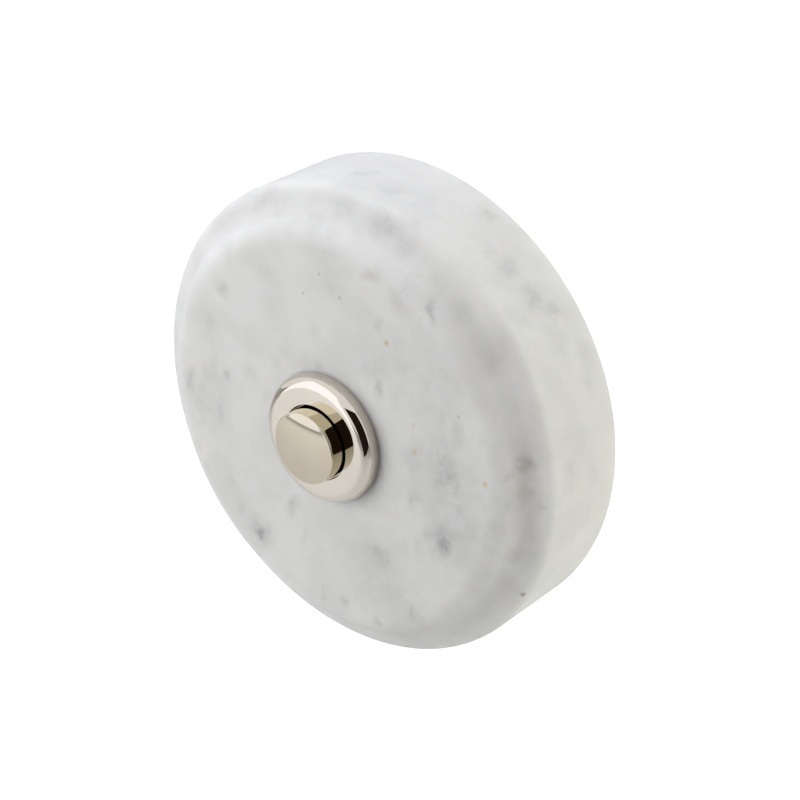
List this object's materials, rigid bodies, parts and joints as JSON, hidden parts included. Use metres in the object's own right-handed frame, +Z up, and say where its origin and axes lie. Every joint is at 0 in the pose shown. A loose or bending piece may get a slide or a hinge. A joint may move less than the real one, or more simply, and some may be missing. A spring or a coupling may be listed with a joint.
{
  "type": "doorbell push button",
  "caption": "Round bell push: marble rose with a coved edge, polished nickel bezel and a sprung push button that closes a contact behind it.",
  "frame": {"origin": "centre of the back, on the wall plane, on the axis of the button", "axes": "+Z up on the wall, the front faces -Y, +Y into the wall"},
  "size_m": [0.08, 0.028, 0.08],
  "materials": {
    "white_marble": "honed white marble with soft grey clouds",
    "polished_nickel": "polished nickel plate on brass",
    "black_rubber": "soft black rubber",
    "spring_steel": "drawn spring steel",
    "white_nylon": "natural nylon",
    "dark_phenolic": "dark brown phenolic moulding",
    "plain_brass": "plain turned brass",
    "zinc_steel": "zinc plated steel"
  },
  "bodies": {
    "fixed": {"marble_rose": "white_marble", "bezel": "polished_nickel", "bezel_gasket": "black_rubber", "return_spring": "spring_steel", "contact_base": "dark_phenolic", "base_circlip": "spring_steel", "wall_plate": "zinc_steel", "contact_stud_left": "plain_brass", "contact_stud_right": "plain_brass", "stud_nut_left": "plain_brass", "stud_nut_right": "plain_brass", "terminal_washer_left": "plain_brass", "terminal_washer_right": "plain_brass", "terminal_nut_left": "plain_brass", "terminal_nut_right": "plain_brass"},
    "button": {"push_button": "polished_nickel", "stem_clip": "spring_steel", "plunger_bush": "white_nylon", "contact_bridge": "plain_brass"}
  },
  "joints": [
    {"name": "button_press", "type": "slide", "parent": "fixed", "child": "button", "axis": [0, 1, 0], "range_m": [0, 0.0015], "stiffness_N_per_m": 1000, "springref_m": -0.0025, "deforming": ["return_spring"]}
  ]
}
